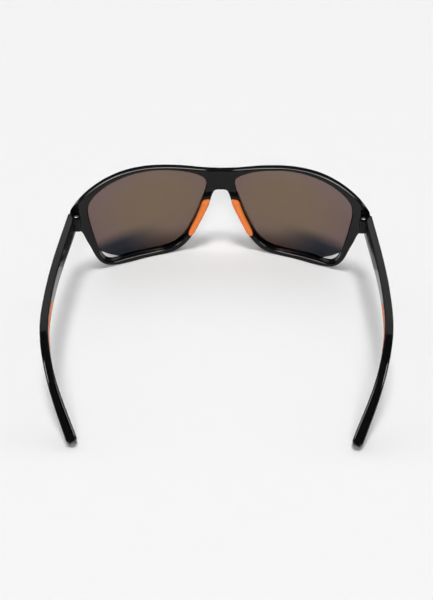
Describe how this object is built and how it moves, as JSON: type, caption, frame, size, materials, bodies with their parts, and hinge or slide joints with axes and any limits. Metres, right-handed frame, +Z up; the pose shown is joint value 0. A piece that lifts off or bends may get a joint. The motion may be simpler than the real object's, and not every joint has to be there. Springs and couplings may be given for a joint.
{
  "type": "glacier glasses",
  "caption": "Wraparound mountain sunglasses with brown lenses, soft nose pads and temples that fold in on screwed hinges.",
  "frame": {"origin": "middle of the footprint on the table, with the temples open", "axes": "+X to the wearer's right, +Y forward out of the lenses, +Z up"},
  "size_m": [0.1466, 0.1513, 0.0471],
  "materials": {
    "frame_plastic": "glossy black moulded plastic",
    "lens_brown": "dark brown polycarbonate with a mirror-like inner coating",
    "orange_rubber": "matt orange soft rubber",
    "screw_steel": "plain steel",
    "insert_brass": "turned brass"
  },
  "bodies": {
    "front": {"front_frame": "frame_plastic", "lens_left": "lens_brown", "lens_right": "lens_brown", "nose_pad_left": "orange_rubber", "nose_pad_right": "orange_rubber"},
    "left_temple": {"temple_left": "frame_plastic", "temple_grip_left": "orange_rubber", "hinge_screw_left": "screw_steel", "hinge_insert_left": "insert_brass"},
    "right_temple": {"temple_right": "frame_plastic", "temple_grip_right": "orange_rubber", "hinge_screw_right": "screw_steel", "hinge_insert_right": "insert_brass"}
  },
  "joints": [
    {"name": "left_temple_hinge", "type": "hinge", "parent": "front", "child": "left_temple", "pos_m": [-0.0664, 0.042, 0.03075], "axis": [0, 0, 1], "range_deg": [0, 84]},
    {"name": "right_temple_hinge", "type": "hinge", "parent": "front", "child": "right_temple", "pos_m": [0.0664, 0.042, 0.03075], "axis": [0, 0, -1], "range_deg": [0, 76]}
  ]
}
